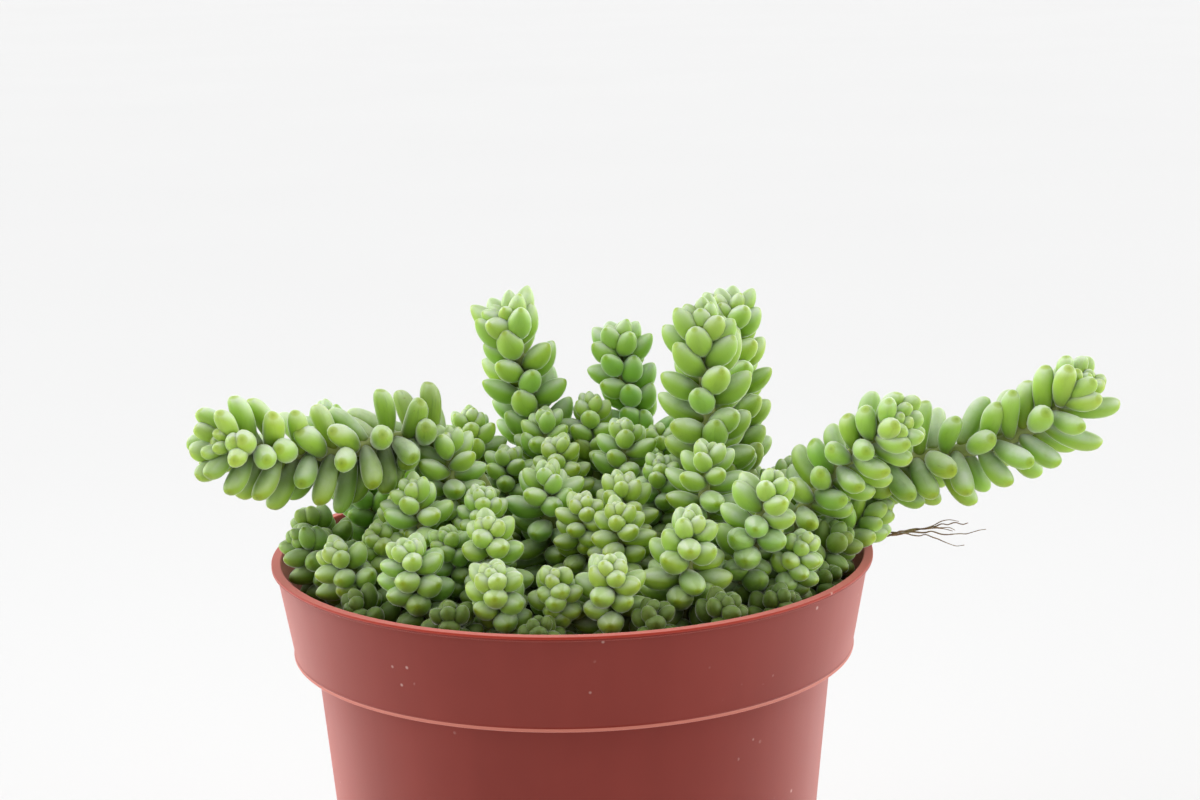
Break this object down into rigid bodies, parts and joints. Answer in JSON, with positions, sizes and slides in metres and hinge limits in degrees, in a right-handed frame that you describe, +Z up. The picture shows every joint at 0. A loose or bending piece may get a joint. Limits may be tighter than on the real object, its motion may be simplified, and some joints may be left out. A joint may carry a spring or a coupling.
{
  "type": "potted succulent plant",
  "caption": "Burro's tail style trailing succulent with plump pale green leaves on crowded stems, long side arms and tall shoots, growing in a round terracotta coloured plastic nursery pot",
  "frame": {"origin": "centre of the pot's flat underside, on the surface that the pot stands on", "axes": "+Z up, out of the pot; -Y towards the side that the picture shows; +X to the right in the picture, along the long arms"},
  "size_m": [0.1782, 0.12, 0.1541],
  "materials": {
    "pot": "satin, pinkish terracotta",
    "soil": "rough, dark granular potting mix",
    "leaves": "soft satin with a pale waxy bloom",
    "shaded_leaves": "soft satin, darker and older",
    "roots": "dry, matte"
  },
  "bodies": {
    "root": {"pot": "pot", "soil": "soil", "aerial_roots": "roots", "stem_left_arm": "leaves", "stem_right_arm_far": "leaves", "stem_right_arm_near": "leaves", "stem_tall_right": "leaves", "stem_tall_back_left": "leaves", "stem_tall_back_middle": "leaves", "stem_tall_right_rear": "leaves", "stem_left_rear": "leaves", "stem_right_edge": "leaves", "stem_front_1": "leaves", "stem_front_2": "leaves", "stem_front_3": "leaves", "stem_front_4": "leaves", "stem_front_5": "leaves", "stem_front_6": "leaves", "stem_front_7": "leaves", "stem_front_8": "leaves", "stem_middle_1": "leaves", "stem_middle_2": "leaves", "stem_middle_3": "leaves", "stem_middle_4": "leaves", "stem_middle_5": "leaves", "stem_middle_6": "leaves", "stem_middle_7": "leaves", "stem_middle_8": "leaves", "stem_middle_9": "leaves", "stem_middle_10": "leaves", "stem_middle_11": "leaves", "stem_middle_12": "leaves", "stem_middle_13": "leaves", "stem_middle_14": "leaves", "stem_left_1": "leaves", "stem_left_2": "leaves", "stem_left_3": "leaves", "stem_left_4": "leaves", "stem_right_1": "leaves", "stem_right_2": "leaves", "stem_right_3": "leaves", "stem_back_1": "leaves", "stem_back_2": "leaves", "stem_back_3": "leaves", "stem_back_4": "leaves", "stem_back_5": "leaves", "stem_back_6": "leaves", "stem_back_7": "leaves", "stem_back_8": "leaves", "stem_back_9": "leaves", "stem_back_10": "leaves", "stem_back_11": "leaves", "stem_low_1": "shaded_leaves", "stem_low_2": "shaded_leaves", "stem_low_3": "shaded_leaves", "stem_low_4": "shaded_leaves", "stem_low_5": "shaded_leaves", "stem_low_6": "shaded_leaves", "stem_low_7": "shaded_leaves"}
  },
  "joints": []
}
